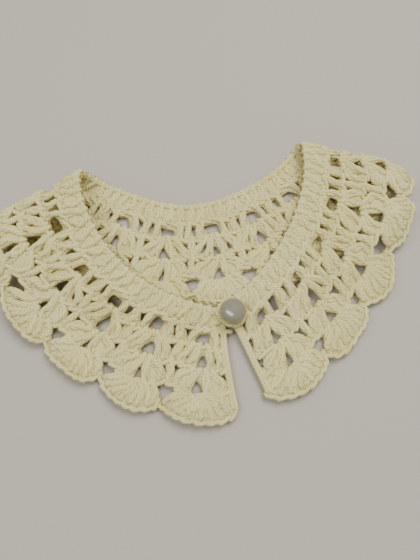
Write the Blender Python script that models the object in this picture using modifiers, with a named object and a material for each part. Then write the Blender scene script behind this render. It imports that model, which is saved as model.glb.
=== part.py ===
"""Crochet collar with a scalloped rim, buttoned at the centre front and laid flat.

The collar is one ring of shell stitches.  Its surface is worked out in two
steps: a flat fan of 18 repeats round a centre behind the neck, and two rolled
folds, one at each shoulder, that bring both fronts over the back.
Sizes are in metres, +Z is up, the front closure faces -Y.
"""
import math

import bmesh
import bpy
import numpy as np

# Driving dimensions
MM = 0.001
REPEATS = 18                # shell repeats round the collar
STEPS = 8                   # mesh columns in one repeat of a flat panel
WALL = 2.2                  # thickness of the crochet, mm
SEAM = 0.3                  # gap between neighbouring panels, mm
FAN_CENTRE = (-6.86, 113.62)  # centre of the flat fan, behind the neck, mm
BACK_REACH = 131.0          # how far the back panel reaches from that centre, mm
DRAPE = 13.0                # run over which a front comes down past the back's rim, mm
NOTCH = 46.0                # depth of the collar at the notches, mm
TIP = 52.4                  # depth of the collar at the scallop tips, mm
CURL = 1.2                  # how far a scallop tip lifts on the fronts, mm

# Flat fan, from the left front edge round the neck to the right front edge.
STATIONS = (
    # repeat, bearing in degrees, neck radius in mm, depth factor
    (0.0, -114.2, 85.8, 0.91),
    (2.0, -88.9, 85.6, 0.92),
    (4.5, -56.8, 83.0, 1.03),
    (7.0, -24.7, 77.2, 1.07),
    (9.0, 2.0, 79.6, 1.01),
    (11.0, 27.9, 75.3, 1.05),
    (13.5, 64.5, 71.5, 1.03),
    (16.0, 101.6, 71.0, 0.97),
    (18.0, 130.4, 76.4, 0.93),
)

# Shoulder folds.
FOLDS = (
    # side, repeat at the neck, turn from the radius in degrees, roll radius at neck and rim and droop in mm
    (-1, 6.75, 31.3, 7.6, 6.4, 0.0),
    (1, 12.28, 31.8, 4.6, 3.8, 6.5),
)
FOLD_RUN = 33.0             # how fast a front sinks away from its fold, mm

# Height of a front's neck edge, away from the fold.
NECK_LIFT = (
    # repeats from the front edge, height of the middle of the wall in mm
    (0.0, 4.6),
    (3.0, 6.2),
    (7.0, 8.0),
)

# Mesh rows, as distances from the neck edge.
ROWS = (
    # at a fan column in mm, at a junction column in mm
    (0.0, 0.0),
    (5.0, 5.0),
    (10.0, 10.0),
    (12.9, 12.9),
    (15.5, 15.5),
    (18.1, 18.1),
    (21.4, 21.4),
    (24.6, 24.6),
    (27.2, 27.2),
    (29.8, 29.8),
    (32.8, 32.4),
    (35.6, 35.0),
    (38.1, 37.7),
    (40.6, 40.5),
    (44.2, 43.3),
    (48.4, 44.8),
)

# Gaps that go through the stitches.
GAPS = (
    # place in the repeat, middle row, half width in mm, half height in mm, corner factor
    (0.5, 4, 2.7, 2.6, 0.72),
    (0.5, 8, 2.7, 2.6, 0.72),
    (0.5, 12, 2.8, 2.5, 0.72),
    (0.0, 13, 2.4, 3.0, 0.56),
)

# Panels between the folds.
PANELS = (
    # name, first repeat, last repeat, mesh columns in a repeat
    ("front_left", 0.0, 4.25, STEPS),
    ("shoulder_left", 4.25, 6.75, 2 * STEPS),
    ("back", 6.75, 11.75, STEPS),
    ("shoulder_right", 11.75, 14.25, 2 * STEPS),
    ("front_right", 14.25, 18.0, STEPS),
)

PEARL_AT = (15.4, -22.3)    # middle of the button, mm
PEARL_RADIUS = 5.6
PEARL_BASE = 6.8            # underside of the pearl above the ground, mm
PEARL_TALL = 7.4
SHANK_RADIUS = 1.4
SHANK_BASE = 5.15
LOOP_YARN = 0.95            # radius of the yarn of the button loop, mm
LOOP_REACH = 4.9            # radius of the loop round the shank, mm
LOOP_HEIGHT = 6.5           # height of the loop's yarn at its middle, mm
LOOP_LEAN = 0.30            # how much higher it lies over the left front, mm


def column(k, name):
    """Smooth value of a station column at repeat k."""
    index = {"bearing": 1, "radius": 2, "depth": 3}[name]
    at = np.array([row[0] for row in STATIONS])
    value = np.array([row[index] for row in STATIONS])
    slope = np.gradient(value, at)
    k = np.asarray(k, dtype=float)
    i = np.clip(np.searchsorted(at, k, side="right") - 1, 0, len(at) - 2)
    span = at[i + 1] - at[i]
    u = (k - at[i]) / span
    left = value[i] * (1 + 2 * u) * (1 - u) ** 2 + slope[i] * span * u * (1 - u) ** 2
    right = value[i + 1] * u * u * (3 - 2 * u) + slope[i + 1] * span * u * u * (u - 1)
    return left + right


def smooth(u):
    """Soft step from 0 to 1."""
    u = np.clip(u, 0.0, 1.0)
    return u * u * (3 - 2 * u)


def fan(k, r):
    """Place of repeat k, r mm from the neck edge, on the flat fan."""
    # Both front edges lean in a little under the button.
    bearing = column(k, "bearing") + (2.6 - 0.107 * r) * np.clip(1 - k, 0, 1) ** 2
    bearing = bearing + 1.6 * np.clip(k - REPEATS + 1, 0, 1) ** 2
    bearing = np.radians(bearing)
    reach = column(k, "radius") + r * column(k, "depth")
    return FAN_CENTRE[0] + reach * np.sin(bearing), FAN_CENTRE[1] - reach * np.cos(bearing)


def width(k, r):
    """Width in mm of one repeat there."""
    near = fan(k - 0.05, r)
    far = fan(k + 0.05, r)
    return 10.0 * np.hypot(far[0] - near[0], far[1] - near[1])


def tip_phase(k):
    """0 in the middle of a fan, 1 at the junction between two fans."""
    return np.abs((np.asarray(k, dtype=float) % 1.0) - 0.5) * 2.0


def rim(k):
    """Depth of the scalloped rim at repeat k, in mm."""
    return NOTCH + (TIP - NOTCH) * np.sqrt(np.clip(1 - tip_phase(k) ** 2.2, 0, 1))


def surface(k, r):
    """Middle of the wall, in mm, of repeat k, r mm from the neck edge."""
    k, r = np.broadcast_arrays(np.asarray(k, dtype=float), np.asarray(r, dtype=float))
    x, y = fan(k, r)
    z = np.full(k.shape, WALL / 2)
    for side, start, turn, roll_neck, roll_rim, droop in FOLDS:
        # The fold line starts at the neck edge and runs out to the rim.
        corner = fan(np.float64(start), np.float64(0.0))
        heading = math.radians(float(column(start, "bearing")) + side * turn)
        along = (math.sin(heading), -math.cos(heading))
        over = (side * math.cos(heading), side * math.sin(heading))
        dx = x - corner[0]
        dy = y - corner[1]
        past = dx * over[0] + dy * over[1]
        run = dx * along[0] + dy * along[1]
        folded = (past > 0) & (side * (k - REPEATS / 2) > 0)
        # The cloth rolls half a turn and comes back over itself.
        roll = roll_neck + (roll_rim - roll_neck) * smooth(run / 50.0)
        turned = np.clip(past, 0, math.pi * roll) / roll
        beyond = past - math.pi * roll
        back = np.where(beyond > 0, -beyond, roll * np.sin(turned))
        # The outer end of the fold droops towards the front.
        level = np.where(folded, back, past)
        level = level - droop * (np.clip(run - 42, 0, 20) / 15) ** 2 * (1 - smooth((np.abs(level) - 6) / 16))
        fx = corner[0] + run * along[0] + level * over[0]
        fy = corner[1] + run * along[1] + level * over[1]
        # A front rests on the back panel, and past its rim on the ground.
        outside = np.hypot(fx - FAN_CENTRE[0], fy - FAN_CENTRE[1]) - BACK_REACH
        stack = WALL + 0.6
        rest = WALL / 2 + stack * (1 - smooth(outside / DRAPE))
        from_edge = k if side < 0 else REPEATS - k
        neck = np.interp(from_edge, [row[0] for row in NECK_LIFT], [row[1] for row in NECK_LIFT])
        rest = rest + (neck - WALL / 2 - stack) * (1 - np.clip(r / 45.0, 0, 1)) ** 1.5
        rest = rest + CURL * (1 - tip_phase(k) ** 2) * smooth((r - 36.0) / 18.0)
        crest = WALL / 2 + 2 * roll
        front = rest + (crest - rest) * np.exp(-(np.maximum(beyond, 0) / FOLD_RUN) ** 2)
        rolled = WALL / 2 + roll * (1 - np.cos(turned))
        near = side * (k - REPEATS / 2) > 0
        x = np.where(near, fx, x)
        y = np.where(near, fy, y)
        z = np.where(folded, np.where(beyond > 0, front, rolled), z)
    return np.stack([x, y, z], axis=-1)


def material(name, colour, roughness, metallic=0.0, coat=0.0):
    """Principled material."""
    mat = bpy.data.materials.new(name)
    mat.use_nodes = True
    shader = mat.node_tree.nodes["Principled BSDF"]
    shader.inputs["Base Color"].default_value = (*colour, 1.0)
    shader.inputs["Roughness"].default_value = roughness
    shader.inputs["Metallic"].default_value = metallic
    shader.inputs["Coat Weight"].default_value = coat
    return mat


def gap_vertices(first, last, steps):
    """Offsets, in mm, of the mesh points round each gap, and the faces to leave out."""
    reach = steps // STEPS
    moved = {}
    empty = set()
    for place, middle, half_width, half_height, corner in GAPS:
        at = place
        while at < last - 0.2:
            i0 = round((at - first) * steps)
            if at > first + 0.2 and at > 0.2:
                for di in range(-reach, reach + 1):
                    for dj in (-1, 0, 1):
                        # The corners are drawn in, so the gap is round or a diamond.
                        side_shape = corner if dj else 1.0
                        top_shape = 1.0 - (1.0 - corner) * abs(di) / reach
                        across = di / reach * half_width * side_shape
                        down = dj * half_height * top_shape
                        inside = dj == 0 and abs(di) < reach
                        moved[(i0 + di, middle + dj)] = (at, middle, across, down, inside)
                for di in range(-reach, reach):
                    for dj in (-1, 0):
                        empty.add((i0 + di, middle + dj))
            at += 1.0
    return moved, empty


def panel(name, first, last, steps, mat, collection):
    """One stretch of the crochet wall, with its gaps cut through."""
    columns = round((last - first) * steps) + 1
    moved, empty = gap_vertices(first, last, steps)
    mesh = bpy.data.meshes.new(name)
    bm = bmesh.new()
    grid = {}
    rows = len(ROWS) + 1
    for i in range(columns):
        k = first + i / steps
        share = (1 + math.cos(math.pi * float(tip_phase(k)))) / 2
        for j in range(rows):
            if (i, j) in moved:
                at, middle, across, down, inside = moved[(i, j)]
                if inside:
                    continue
                own_share = (1 + math.cos(math.pi * float(tip_phase(at)))) / 2
                r = ROWS[middle][0] * own_share + ROWS[middle][1] * (1 - own_share) + down
                kk = at + across / float(width(at, r))
            else:
                kk = k
                r = float(rim(k)) if j == rows - 1 else ROWS[j][0] * share + ROWS[j][1] * (1 - share)
            # Seams stand half a gap back from the line between two panels.
            if i == 0 and first > 0:
                kk += SEAM / 2 / float(width(k, r))
            if i == columns - 1 and last < REPEATS:
                kk -= SEAM / 2 / float(width(k, r))
            grid[(i, j)] = bm.verts.new(surface(kk, r) * MM)
    for i in range(columns - 1):
        for j in range(rows - 1):
            if (i, j) in empty:
                continue
            ring = (grid[(i, j)], grid[(i, j + 1)], grid[(i + 1, j + 1)], grid[(i + 1, j)])
            bm.faces.new(ring)
    bm.normal_update()
    bm.to_mesh(mesh)
    bm.free()
    mesh.materials.append(mat)
    obj = bpy.data.objects.new(name, mesh)
    collection.objects.link(obj)
    wall = obj.modifiers.new("Wall", "SOLIDIFY")
    wall.thickness = WALL * MM
    wall.offset = 0.0
    wall.use_rim = True
    wall.use_quality_normals = True
    obj.data.shade_smooth()
    return obj


def pearl_button(mat, collection):
    """Turned pearl with a short shank, as a profile round the Z axis."""
    profile = []
    for i in range(13):
        angle = math.pi / 2 - math.pi * 0.86 * i / 12
        tall = 0.5 * PEARL_TALL
        profile.append((PEARL_RADIUS * math.cos(angle), PEARL_BASE + tall + tall * math.sin(angle)))
    profile = [(x, z) for x, z in profile if x > SHANK_RADIUS]
    outline = [(0.0, PEARL_BASE + PEARL_TALL)] + profile
    outline += [(SHANK_RADIUS, profile[-1][1]), (SHANK_RADIUS, SHANK_BASE), (0.0, SHANK_BASE)]
    mesh = bpy.data.meshes.new("pearl_button")
    points = [(x * MM, 0.0, z * MM) for x, z in outline]
    mesh.from_pydata(points, [(i, i + 1) for i in range(len(points) - 1)], [])
    mesh.materials.append(mat)
    obj = bpy.data.objects.new("pearl_button", mesh)
    collection.objects.link(obj)
    obj.location = (PEARL_AT[0] * MM, PEARL_AT[1] * MM, 0.0)
    turn = obj.modifiers.new("Turn", "SCREW")
    turn.steps = 28
    turn.render_steps = 28
    turn.use_merge_vertices = True
    turn.merge_threshold = 0.00001
    turn.use_normal_calculate = True
    return obj


def button_loop(mat, collection):
    """Yarn loop from the left front's corner, round the shank under the pearl."""
    curve = bpy.data.curves.new("button_loop", "CURVE")
    curve.dimensions = "3D"
    curve.bevel_depth = LOOP_YARN * MM
    curve.bevel_resolution = 2
    spline = curve.splines.new("POLY")
    count = 30
    spline.points.add(count - 1)
    for i in range(count):
        angle = 2 * math.pi * i / count
        stretch = 1.0 + 0.28 * max(0.0, -math.cos(angle)) ** 2
        x = PEARL_AT[0] + LOOP_REACH * stretch * math.cos(angle)
        y = PEARL_AT[1] + LOOP_REACH * math.sin(angle) + 0.8 * max(0.0, -math.cos(angle))
        z = LOOP_HEIGHT - LOOP_LEAN * math.cos(angle)
        spline.points[i].co = (x * MM, y * MM, z * MM, 1.0)
    spline.use_cyclic_u = True
    curve.materials.append(mat)
    obj = bpy.data.objects.new("button_loop", curve)
    collection.objects.link(obj)
    return obj


def main():
    for obj in list(bpy.data.objects):
        bpy.data.objects.remove(obj, do_unlink=True)
    collection = bpy.data.collections.new("crochet_collar")
    bpy.context.scene.collection.children.link(collection)
    cream = material("cream_cotton", (0.78, 0.73, 0.56), 0.9)
    pearl = material("pearl", (0.62, 0.59, 0.50), 0.25, coat=0.8)
    for name, first, last, steps in PANELS:
        panel(name, first, last, steps, cream, collection)
    pearl_button(pearl, collection)
    button_loop(cream, collection)


main()
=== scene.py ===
"""A crochet collar laid flat: its cotton stitches, pearl button and yarn loop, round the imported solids."""
import math

import bpy
import mathutils
import numpy as np
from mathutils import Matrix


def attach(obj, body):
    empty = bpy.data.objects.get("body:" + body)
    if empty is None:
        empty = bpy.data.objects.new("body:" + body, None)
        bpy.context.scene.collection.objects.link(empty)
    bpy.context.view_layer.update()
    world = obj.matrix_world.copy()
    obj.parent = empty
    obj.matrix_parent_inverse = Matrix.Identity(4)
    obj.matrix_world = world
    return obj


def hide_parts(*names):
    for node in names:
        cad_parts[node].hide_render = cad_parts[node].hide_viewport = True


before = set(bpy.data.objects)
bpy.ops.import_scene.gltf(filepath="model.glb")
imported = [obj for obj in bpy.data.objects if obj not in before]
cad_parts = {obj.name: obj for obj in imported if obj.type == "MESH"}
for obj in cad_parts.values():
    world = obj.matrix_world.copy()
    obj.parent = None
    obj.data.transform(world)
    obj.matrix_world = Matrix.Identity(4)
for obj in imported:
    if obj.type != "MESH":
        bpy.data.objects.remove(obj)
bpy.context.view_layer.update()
for part in bpy.context.selected_objects:
    part.select_set(False)

# The cloth as a whole: one ring of 18 shell repeats, worked from the neck edge outwards and laid down with a
# rolled fold at each shoulder, so that both fronts lie over the back. Its middle surface is the solids' own:
# k counts the repeats from the left front edge, r is the distance from the neck edge and h the height in mm.
MM = 0.001
REPEATS = 18                # shell repeats round the collar
WALL = 2.2                  # thickness of the solids, in mm
LAYER_GAP = 0.6             # between a front and the back under it, in mm
FAN_CENTRE = (-6.86, 113.62)  # centre of the flat fan, behind the neck, in mm
BACK_REACH = 131.0          # how far the back panel reaches from that centre, in mm
DRAPE = 13.0                # run over which a front comes down past the back's rim, in mm
NOTCH = 46.0                # depth of the collar at the notches, in mm
TIP = 52.4                  # depth of the collar at the scallop tips, in mm
SCALLOP_POWER = 2.2         # 2 would make each scallop half an ellipse, and more makes it squarer
CURL = 1.2                  # how far a scallop tip lifts on the fronts, in mm
CURL_FROM = 36.0            # distance from the neck edge where it begins to lift, in mm
CURL_RUN = 18.0             # and the run over which it does, in mm
STATIONS = np.array((
    # repeat, bearing in degrees, neck radius in mm, depth factor
    (0.0, -114.2, 85.8, 0.91),
    (2.0, -88.9, 85.6, 0.92),
    (4.5, -56.8, 83.0, 1.03),
    (7.0, -24.7, 77.2, 1.07),
    (9.0, 2.0, 79.6, 1.01),
    (11.0, 27.9, 75.3, 1.05),
    (13.5, 64.5, 71.5, 1.03),
    (16.0, 101.6, 71.0, 0.97),
    (18.0, 130.4, 76.4, 0.93),
))
BEARING, NECK_RADIUS, DEPTH_FACTOR = 1, 2, 3    # columns of that table
LEFT_LEAN = 2.6             # degrees that the left front edge leans in at the neck
LEFT_LEAN_FALL = 0.107      # and how many fewer for each mm further out
RIGHT_LEAN = 1.6            # degrees that the right front edge leans in
FOLDS = (
    # side, repeat at the neck, turn from the radius in degrees, roll radius at neck and rim and droop in mm
    (-1, 6.75, 31.3, 7.6, 6.4, 0.0),
    (1, 12.28, 31.8, 4.6, 3.8, 6.5),
)
ROLL_RUN = 50.0             # run along a fold from its radius at the neck to that at the rim, in mm
FOLD_RUN = 33.0             # how fast a front sinks away from its fold, in mm
DROOP_FROM = 42.0           # distance along a fold where its outer end begins to droop, in mm
DROOP_END = 20.0            # how far the droop goes on growing, in mm
DROOP_RUN = 15.0            # run over which it reaches the value in the table, in mm
DROOP_NEAR = 6.0            # distance from the fold up to which the cloth takes part in full, in mm
DROOP_FADE = 16.0           # and the run over which it takes less and less part, in mm
NECK_LIFT = np.array((
    # repeats from the front edge, height of the middle of the wall at the neck edge in mm
    (0.0, 4.6),
    (3.0, 6.2),
    (7.0, 8.0),
))
NECK_SETTLE = 45.0          # run over which a front comes down from that height, in mm
WANDER = 1.05               # how far the stitches stray along a row from an even pattern, in mm
WANDER_DOWN = 0.7           # share of that by which they stray across the row
WANDER_HEIGHT = 0.25        # how far they stray in height, in mm
HELD_NECK = 6.0             # run from the neck edge over which the straying begins, in mm
HELD_EDGE = 0.2             # and from a front edge, in repeats
STITCH_LIFT = 1.1           # how far the yarn stands above the solids' middle, to rest on the floor, in mm


def column(k, index):
    """Smooth value of a station column at repeat k."""
    at = STATIONS[:, 0]
    value = STATIONS[:, index]
    slope = np.gradient(value, at)
    i = np.clip(np.searchsorted(at, k, side="right") - 1, 0, len(at) - 2)
    span = at[i + 1] - at[i]
    u = (k - at[i]) / span
    left = value[i] * (1 + 2 * u) * (1 - u) ** 2 + slope[i] * span * u * (1 - u) ** 2
    right = value[i + 1] * u * u * (3 - 2 * u) + slope[i + 1] * span * u * u * (u - 1)
    return left + right


def smooth(u):
    """Soft step from 0 to 1."""
    u = np.clip(u, 0.0, 1.0)
    return u * u * (3 - 2 * u)


def fan(k, r):
    """Place on the flat fan, in mm."""
    bearing = column(k, BEARING) + (LEFT_LEAN - LEFT_LEAN_FALL * r) * np.clip(1 - k, 0, 1) ** 2
    bearing = np.radians(bearing + RIGHT_LEAN * np.clip(k - REPEATS + 1, 0, 1) ** 2)
    reach = column(k, NECK_RADIUS) + r * column(k, DEPTH_FACTOR)
    return FAN_CENTRE[0] + reach * np.sin(bearing), FAN_CENTRE[1] - reach * np.cos(bearing)


def width(k, r):
    """Width in mm of one repeat there, from a tenth of it."""
    near = fan(np.asarray(k, float) - 0.05, r)
    far = fan(np.asarray(k, float) + 0.05, r)
    return 10.0 * np.hypot(far[0] - near[0], far[1] - near[1])


def tip_phase(k):
    """0 in the middle of a fan, 1 at the junction between two fans."""
    return np.abs((np.asarray(k, float) % 1.0) - 0.5) * 2.0


def rim(k):
    """Depth of the scalloped rim in mm."""
    return NOTCH + (TIP - NOTCH) * np.sqrt(np.clip(1 - tip_phase(k) ** SCALLOP_POWER, 0, 1))


def surface(k, r):
    """Middle of the cloth in mm."""
    k, r = np.broadcast_arrays(np.asarray(k, float), np.asarray(r, float))
    x, y = fan(k, r)
    z = np.full(k.shape, WALL / 2)
    stack = WALL + LAYER_GAP
    for side, start, turn, roll_neck, roll_rim, droop in FOLDS:
        # The fold line starts at the neck edge and runs out to the rim.
        corner = fan(np.float64(start), np.float64(0.0))
        heading = math.radians(float(column(np.float64(start), BEARING)) + side * turn)
        along = (math.sin(heading), -math.cos(heading))
        over = (side * math.cos(heading), side * math.sin(heading))
        dx = x - corner[0]
        dy = y - corner[1]
        past = dx * over[0] + dy * over[1]
        run = dx * along[0] + dy * along[1]
        near = side * (k - REPEATS / 2) > 0
        folded = (past > 0) & near
        # The cloth rolls half a turn and comes back over itself.
        roll = roll_neck + (roll_rim - roll_neck) * smooth(run / ROLL_RUN)
        turned = np.clip(past, 0, math.pi * roll) / roll
        beyond = past - math.pi * roll
        back = np.where(beyond > 0, -beyond, roll * np.sin(turned))
        # The outer end of the fold droops towards the front.
        level = np.where(folded, back, past)
        drooped = (np.clip(run - DROOP_FROM, 0, DROOP_END) / DROOP_RUN) ** 2
        level = level - droop * drooped * (1 - smooth((np.abs(level) - DROOP_NEAR) / DROOP_FADE))
        fx = corner[0] + run * along[0] + level * over[0]
        fy = corner[1] + run * along[1] + level * over[1]
        # A front rests on the back panel, and past its rim on the floor.
        outside = np.hypot(fx - FAN_CENTRE[0], fy - FAN_CENTRE[1]) - BACK_REACH
        rest = WALL / 2 + stack * (1 - smooth(outside / DRAPE))
        neck = np.interp(k if side < 0 else REPEATS - k, NECK_LIFT[:, 0], NECK_LIFT[:, 1])
        rest = rest + (neck - WALL / 2 - stack) * (1 - np.clip(r / NECK_SETTLE, 0, 1)) ** 1.5
        rest = rest + CURL * (1 - tip_phase(k) ** 2) * smooth((r - CURL_FROM) / CURL_RUN)
        crest = WALL / 2 + 2 * roll
        front = rest + (crest - rest) * np.exp(-(np.maximum(beyond, 0) / FOLD_RUN) ** 2)
        rolled = WALL / 2 + roll * (1 - np.cos(turned))
        x = np.where(near, fx, x)
        y = np.where(near, fy, y)
        z = np.where(folded, np.where(beyond > 0, front, rolled), z)
    return np.stack([x, y, z], axis=-1)


def outer_normal(k, r):
    """Direction out of the garment's outer face, from the slope of the cloth along and across a row."""
    across = surface(k + 0.01, r) - surface(k - 0.01, r)
    down = surface(k, r + 0.1) - surface(k, r - 0.1)
    normal = np.cross(across, down)
    return normal / np.linalg.norm(normal, axis=-1, keepdims=True)


def wander(k, r, seed):
    """Soft unevenness of hand work, mostly from -1 to 1: six waves half a repeat to two long, none in step."""
    random = np.random.default_rng(seed)
    total = np.zeros(np.shape(k))
    for _ in range(6):
        by_k = random.uniform(3.0, 13.0)
        by_r = random.uniform(-0.45, 0.45)
        phase = random.uniform(0, 2 * math.pi)
        total = total + np.sin(by_k * k + by_r * r + phase)
    return total / 3.2


def place(points):
    """Points (k, r, h) as places in mm, with the outer normals there."""
    k, r = points[..., 0], points[..., 1]
    free = smooth(r / HELD_NECK) * smooth(k / HELD_EDGE) * smooth((REPEATS - k) / HELD_EDGE)
    moved_k = k + free * WANDER * wander(k, r, 1) / width(k, r)
    moved_r = r + WANDER_DOWN * free * WANDER * wander(k, r, 2)
    normal = outer_normal(moved_k, moved_r)
    high = points[..., 2] + free * WANDER_HEIGHT * wander(k, r, 3)
    at = surface(moved_k, moved_r) + normal * high[..., None]
    return at + np.array((0.0, 0.0, STITCH_LIFT)), normal


# The yarn: soft spun cotton of about 2 mm, ivory, four plies twisted together. It is matt with a faint bloom of
# loose fibres. Its colour is pale on the crowns of the stitches, with a warm painted shade down between them.
YARN = 1.28                 # radius of the yarn in mm, as loose in a stitch
YARN_UNEVEN = (0.035, 0.02)  # how much it varies from strand to strand and along one, as a share
PLIES = 4
PLY_TURN = 7.0              # length of one turn of a ply, in mm
PLY_DEPTH = 0.0004          # depth of the groove between two plies, in metres
FIBRE = 0.00045             # size of the fibre pattern in metres, coarser than real ones, which wouldn't show
FIBRE_SHARE = 0.45          # height of that pattern as a share of the plies'
PATCH = 0.014               # size of the patches that are a little paler, in metres
UV_MM = 10.0                # length of yarn to one unit of its map, in mm
SIDES = 8                   # flat sides round a strand
IN_THE_OPEN = 1.4           # height given to a strand clear of the cloth, where nothing shades it
IVORY = "EDDE90"
IVORY_PALE = "FAF1B2"
# a warm tan, painted as shade down between the strands
SHADE_TAN = "9A7F40"
BLOOM = "FFF1C4"


def linear(code):
    """An sRGB hex colour as a linear one."""
    parts = [int(code[i:i + 2], 16) / 255 for i in (0, 2, 4)]
    parts = [c / 12.92 if c <= 0.04045 else ((c + 0.055) / 1.055) ** 2.4 for c in parts]
    return (*parts, 1.0)


def add_node(tree, kind, inputs=(), **settings):
    """Adds a node. Settings are its own values, and inputs are sockets with a value or a source socket."""
    made = tree.nodes.new(kind)
    for name, value in settings.items():
        setattr(made, name, value)
    for socket, value in inputs:
        if isinstance(value, bpy.types.NodeSocket):
            tree.links.new(value, made.inputs[socket])
        else:
            made.inputs[socket].default_value = value
    return made


def cotton_yarn(name):
    """Spun cotton: rough and diffuse, its ply twist in the bump, with a warm painted shade down between the
    strands.
    """
    mat = bpy.data.materials.new(name)
    mat.use_nodes = True
    tree = mat.node_tree
    shader = tree.nodes["Principled BSDF"]
    height = add_node(tree, "ShaderNodeAttribute", attribute_name="height")
    tone = add_node(tree, "ShaderNodeAttribute", attribute_name="tone")
    coords = add_node(tree, "ShaderNodeTexCoord")
    # The plies: a groove winds round the yarn between each two of them.
    uv = add_node(tree, "ShaderNodeSeparateXYZ", [(0, coords.outputs["UV"])])
    around = add_node(tree, "ShaderNodeMath", [(0, uv.outputs["X"]), (1, float(PLIES))], operation="MULTIPLY")
    turns = UV_MM * PLIES / PLY_TURN
    along = add_node(tree, "ShaderNodeMath", [(0, uv.outputs["Y"]), (1, turns)], operation="MULTIPLY")
    twist = add_node(tree, "ShaderNodeMath", [(0, around.outputs[0]), (1, along.outputs[0])], operation="ADD")
    turn = add_node(tree, "ShaderNodeMath", [(0, twist.outputs[0]), (1, math.pi)], operation="MULTIPLY")
    wave = add_node(tree, "ShaderNodeMath", [(0, turn.outputs[0])], operation="SINE")
    ply = add_node(tree, "ShaderNodeMath", [(0, wave.outputs[0])], operation="ABSOLUTE")
    fibre = add_node(tree, "ShaderNodeTexNoise",
                     [("Vector", coords.outputs["Object"]), ("Scale", 1 / FIBRE), ("Detail", 3.0)])
    relief = add_node(tree, "ShaderNodeMath", operation="MULTIPLY_ADD", inputs=[
        (0, fibre.outputs["Fac"]), (1, FIBRE_SHARE), (2, ply.outputs[0])])
    bump = add_node(tree, "ShaderNodeBump",
                    [("Strength", 0.6), ("Distance", PLY_DEPTH), ("Height", relief.outputs[0])])
    tree.links.new(bump.outputs[0], shader.inputs["Normal"])
    # The colour: ivory in soft patches on the crowns and a warm tan of painted shade in the depth. Sockets 6
    # and 7 are the two colours of a mix.
    crown = add_node(tree, "ShaderNodeMath", [(0, height.outputs["Fac"])], operation="ABSOLUTE")
    open_to_light = add_node(tree, "ShaderNodeMapRange",
                             [("Value", crown.outputs[0]), ("From Min", -0.35), ("From Max", 1.05)])
    patch = add_node(tree, "ShaderNodeTexNoise",
                     [("Vector", coords.outputs["Object"]), ("Scale", 1 / PATCH), ("Detail", 2.0)])
    pale = add_node(tree, "ShaderNodeMix", data_type="RGBA", inputs=[
        ("Factor", patch.outputs["Fac"]), (6, linear(IVORY)), (7, linear(IVORY_PALE))])
    ivory_and_shade = add_node(tree, "ShaderNodeMix", data_type="RGBA", inputs=[
        ("Factor", open_to_light.outputs[0]), (6, linear(SHADE_TAN)), (7, pale.outputs[2])])
    # Each strand has a tone of its own, and the grooves between the plies are darkened with painted shade.
    value = add_node(tree, "ShaderNodeMapRange",
                     [("Value", tone.outputs["Fac"]), ("To Min", 0.93), ("To Max", 1.03)])
    groove_shade = add_node(tree, "ShaderNodeMapRange",
                      [("Value", ply.outputs[0]), ("From Max", 0.75), ("To Min", 0.77)])
    shade = add_node(tree, "ShaderNodeMath",
                     [(0, value.outputs[0]), (1, groove_shade.outputs[0])], operation="MULTIPLY")
    final = add_node(tree, "ShaderNodeHueSaturation",
                     [("Color", ivory_and_shade.outputs[2]), ("Value", shade.outputs[0])])
    tree.links.new(final.outputs[0], shader.inputs["Base Color"])
    # A tenth of the light goes through a strand.
    through = add_node(tree, "ShaderNodeBsdfTranslucent", [("Color", final.outputs[0])])
    both = add_node(tree, "ShaderNodeMixShader", [(0, 0.10), (1, shader.outputs[0]), (2, through.outputs[0])])
    tree.links.new(both.outputs[0], tree.nodes["Material Output"].inputs["Surface"])
    for socket, amount in (("Subsurface Weight", 0.15), ("Subsurface Radius", (1.0, 0.8, 0.3)),
                           ("Subsurface Scale", 0.0014), ("Roughness", 0.88), ("Specular IOR Level", 0.25),
                           ("Sheen Weight", 0.25), ("Sheen Roughness", 0.6), ("Sheen Tint", linear(BLOOM))):
        shader.inputs[socket].default_value = amount
    return mat


cotton = cotton_yarn("spun_cotton_yarn")


def strand_points(controls, steps, closed):
    """Smooth lines through control points: steps samples for each stretch."""
    if closed:
        before, after, later = (np.roll(controls, n, axis=1) for n in (1, -1, -2))
        start = controls
    else:
        padded = np.concatenate([2 * controls[:, :1] - controls[:, 1:2], controls,
                                 2 * controls[:, -1:] - controls[:, -2:-1]], axis=1)
        before, start, after, later = padded[:, :-3], padded[:, 1:-2], padded[:, 2:-1], padded[:, 3:]
    bend = 2 * before - 5 * start + 4 * after - later
    swing = 3 * start - before - 3 * after + later
    samples = []
    for n in range(steps):
        u = n / steps
        samples.append(0.5 * (2 * start + (after - before) * u + bend * u ** 2 + swing * u ** 3))
    line = np.stack(samples, axis=2).reshape(len(controls), -1, 3)
    return line if closed else np.concatenate([line, controls[:, -1:]], axis=1)


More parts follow.
